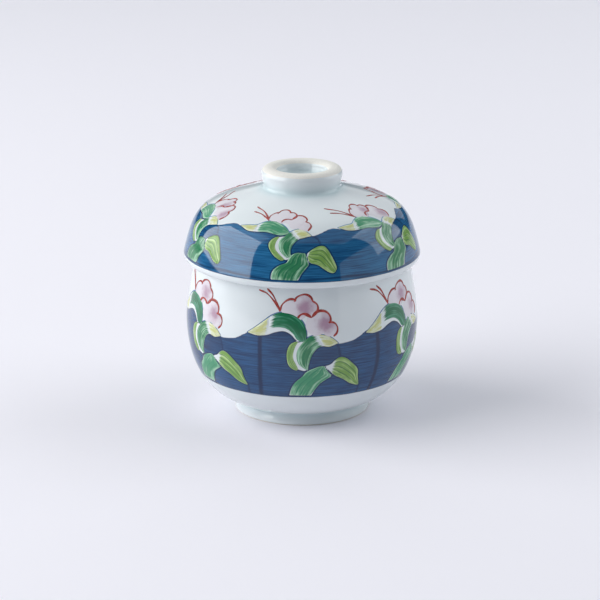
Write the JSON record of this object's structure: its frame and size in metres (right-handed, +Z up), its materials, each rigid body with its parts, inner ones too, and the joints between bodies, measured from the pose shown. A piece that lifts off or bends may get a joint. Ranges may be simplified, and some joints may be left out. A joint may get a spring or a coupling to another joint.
{
  "type": "lidded steaming cup",
  "caption": "Small round-bellied porcelain cup on a turned foot ring, closed by an overhanging lid with a ring knob, for steaming and serving a single portion.",
  "frame": {"origin": "centre of the foot ring's ground face, on the axis that both pieces are turned about", "axes": "+Z up along that axis, out through the lid's knob; X and Y lie in the ground, and the turned shape is the same all round"},
  "size_m": [0.0852, 0.0852, 0.0897],
  "materials": {
    "bowl_porcelain": "gloss, bluish white glaze with a cobalt wash under it, bare at the foot's ground face",
    "lid_porcelain": "gloss, bluish white glaze with a cobalt wash under it, bare at the knob's rim",
    "green_enamel": "gloss, glassy overglaze enamel, brushed",
    "yellow_enamel": "gloss, glassy overglaze enamel, brushed",
    "pink_enamel": "gloss, milky overglaze enamel",
    "red_enamel": "satin, thin overglaze line"
  },
  "bodies": {
    "bowl": {"bowl": "bowl_porcelain"},
    "lid": {"lid": "lid_porcelain"}
  },
  "joints": [
    {"name": "lid_lift", "type": "slide", "parent": "bowl", "child": "lid", "axis": [0, 0, 1], "range_m": [0, 0.06]}
  ]
}
